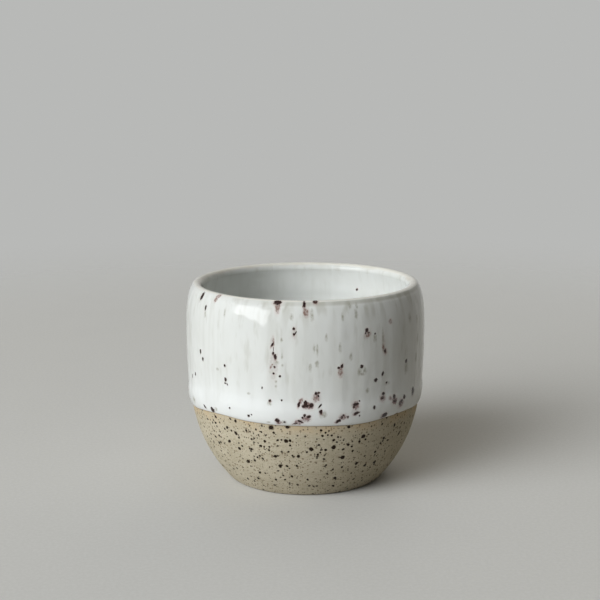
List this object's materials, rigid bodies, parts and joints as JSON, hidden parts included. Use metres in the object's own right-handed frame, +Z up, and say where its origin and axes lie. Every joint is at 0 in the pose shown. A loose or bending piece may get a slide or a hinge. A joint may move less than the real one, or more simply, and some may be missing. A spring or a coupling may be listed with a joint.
{
  "type": "cappuccino cup",
  "caption": "Handleless round-bellied stoneware cup with a bare speckled clay base, a white speckled glaze coat dipped over the upper wall and lip, and a glazed inside, for coffee with milk.",
  "frame": {"origin": "middle of the foot ring, on the table", "axes": "+Z up along the axis that the cup was thrown on; -Y is the front, the side that the picture shows"},
  "size_m": [0.084, 0.084, 0.0698],
  "materials": {
    "bare_stoneware": "matte sandy buff stoneware, unglazed, with dark iron specks",
    "white_glaze": "glossy off-white glaze with brown and black iron specks that have run downwards",
    "liner_glaze": "glossy off-white glaze with a few iron specks"
  },
  "bodies": {
    "root": {"stoneware_body": "bare_stoneware", "outer_glaze": "white_glaze", "liner_glaze": "liner_glaze"}
  },
  "joints": []
}
